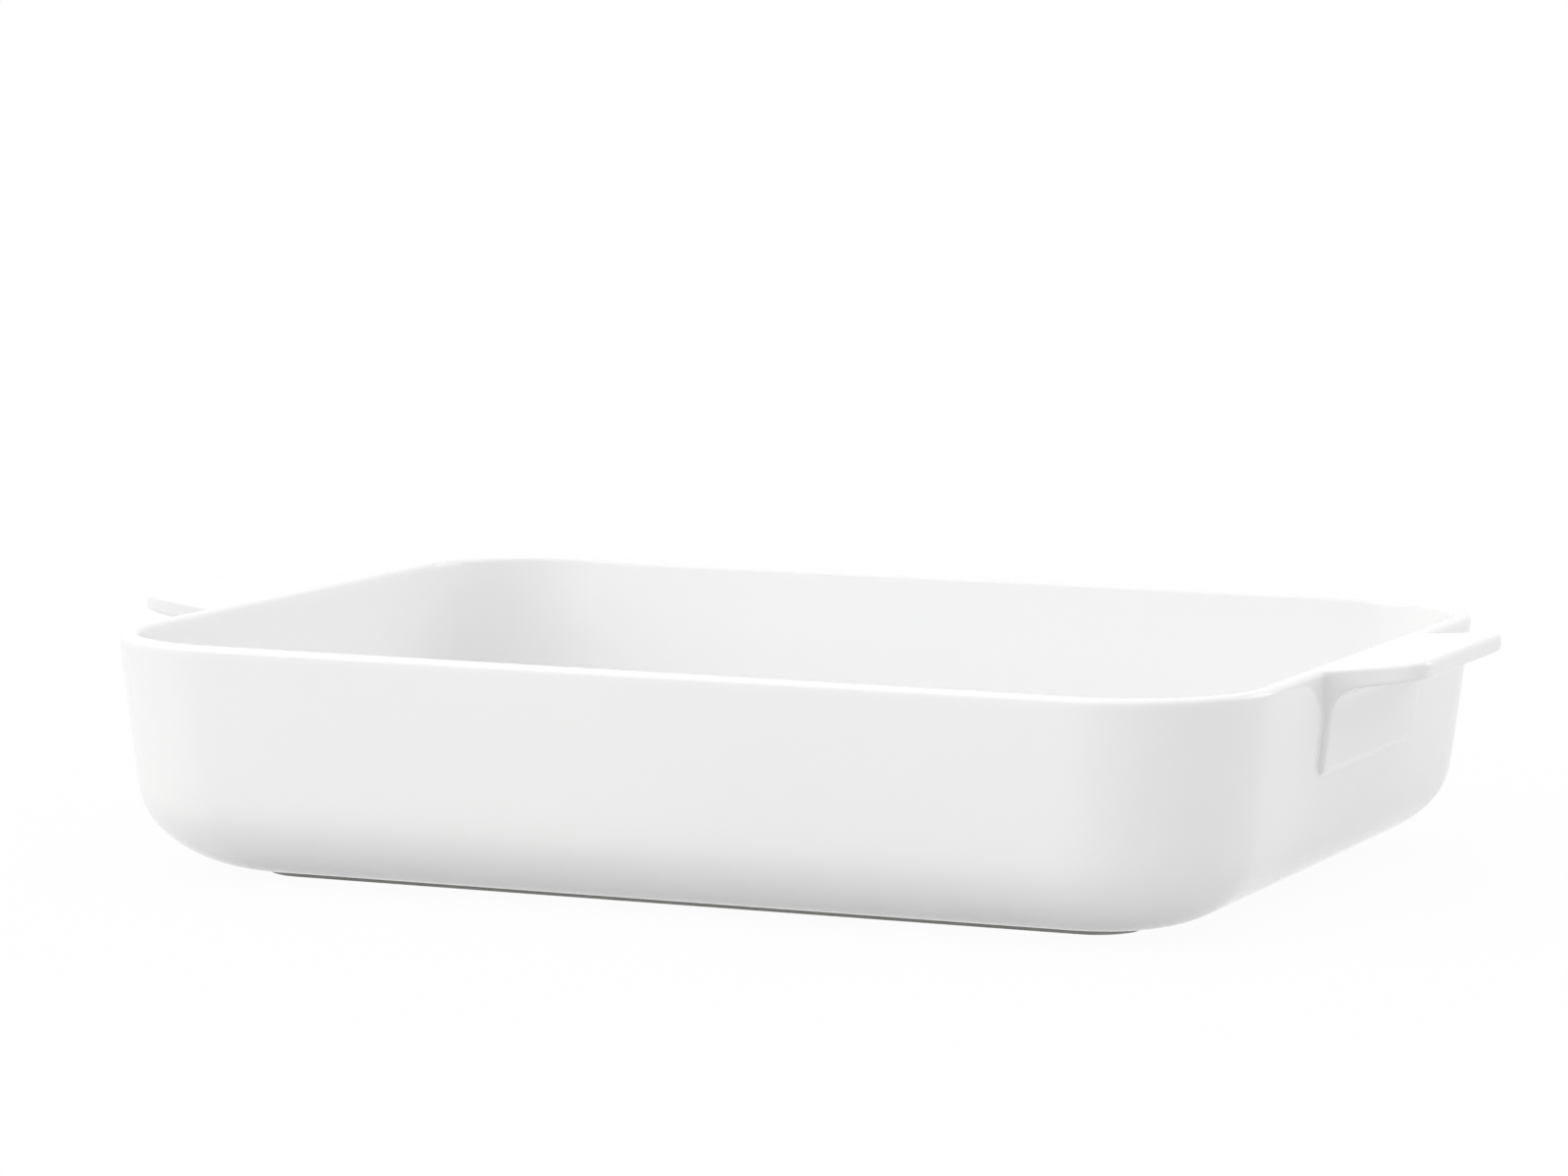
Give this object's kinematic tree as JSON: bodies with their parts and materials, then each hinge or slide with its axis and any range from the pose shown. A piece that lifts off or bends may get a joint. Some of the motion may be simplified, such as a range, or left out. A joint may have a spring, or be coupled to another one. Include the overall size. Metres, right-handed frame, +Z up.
{
  "type": "lasagna dish",
  "caption": "Deep rectangular white porcelain oven dish with drafted walls, a rounded base and a flat tab handle on each end wall.",
  "frame": {"origin": "centre of the standing face, on the surface that the dish stands on", "axes": "+X along the dish towards the right handle, +Y across it away from the viewer, +Z up"},
  "size_m": [0.34, 0.2396, 0.0623],
  "materials": {
    "white_glaze": "smooth clear gloss glaze over white porcelain",
    "bare_porcelain": "unglazed, ground flat and matt"
  },
  "bodies": {
    "root": {"dish_body": "white_glaze", "right_handle": "white_glaze", "left_handle": "white_glaze", "foot_ring": "bare_porcelain"}
  },
  "joints": []
}
